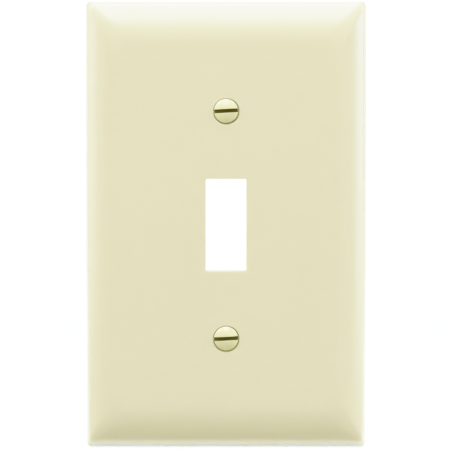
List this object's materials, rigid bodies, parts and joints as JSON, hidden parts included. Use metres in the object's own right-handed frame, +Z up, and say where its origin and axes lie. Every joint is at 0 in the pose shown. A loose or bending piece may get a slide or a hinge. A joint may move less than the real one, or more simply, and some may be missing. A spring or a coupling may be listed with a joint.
{
  "type": "toggle wall plate",
  "caption": "One-gang ivory toggle wall plate with a crowned border and captive slotted oval-head screws that turn and float in its countersunk holes.",
  "frame": {"origin": "middle of the toggle opening, on the wall plane that the back rim lies on", "axes": "+Z up, the front faces -Y, +Y into the wall, +X to the right seen from the front"},
  "size_m": [0.0746, 0.0137, 0.119],
  "materials": {
    "ivory_nylon": "satin gloss, moulded",
    "ivory_painted_steel": "ivory enamel on the head, zinc plate on the thread",
    "natural_polyethylene": "soft, matt, translucent white"
  },
  "bodies": {
    "plate": {"wall_plate": "ivory_nylon"},
    "upper_retainer": {"upper_screw_retainer": "natural_polyethylene"},
    "upper_screw": {"upper_plate_screw": "ivory_painted_steel"},
    "lower_retainer": {"lower_screw_retainer": "natural_polyethylene"},
    "lower_screw": {"lower_plate_screw": "ivory_painted_steel"}
  },
  "joints": [
    {"name": "upper_screw_float", "type": "slide", "parent": "plate", "child": "upper_retainer", "axis": [0, -1, 0], "range_m": [0, 0.0025]},
    {"name": "upper_screw_turn", "type": "hinge", "parent": "upper_retainer", "child": "upper_screw", "pos_m": [0, 0, 0.03016], "axis": [0, -1, 0], "continuous": true},
    {"name": "lower_screw_float", "type": "slide", "parent": "plate", "child": "lower_retainer", "axis": [0, -1, 0], "range_m": [0, 0.0025]},
    {"name": "lower_screw_turn", "type": "hinge", "parent": "lower_retainer", "child": "lower_screw", "pos_m": [0, 0, -0.03016], "axis": [0, -1, 0], "continuous": true}
  ]
}
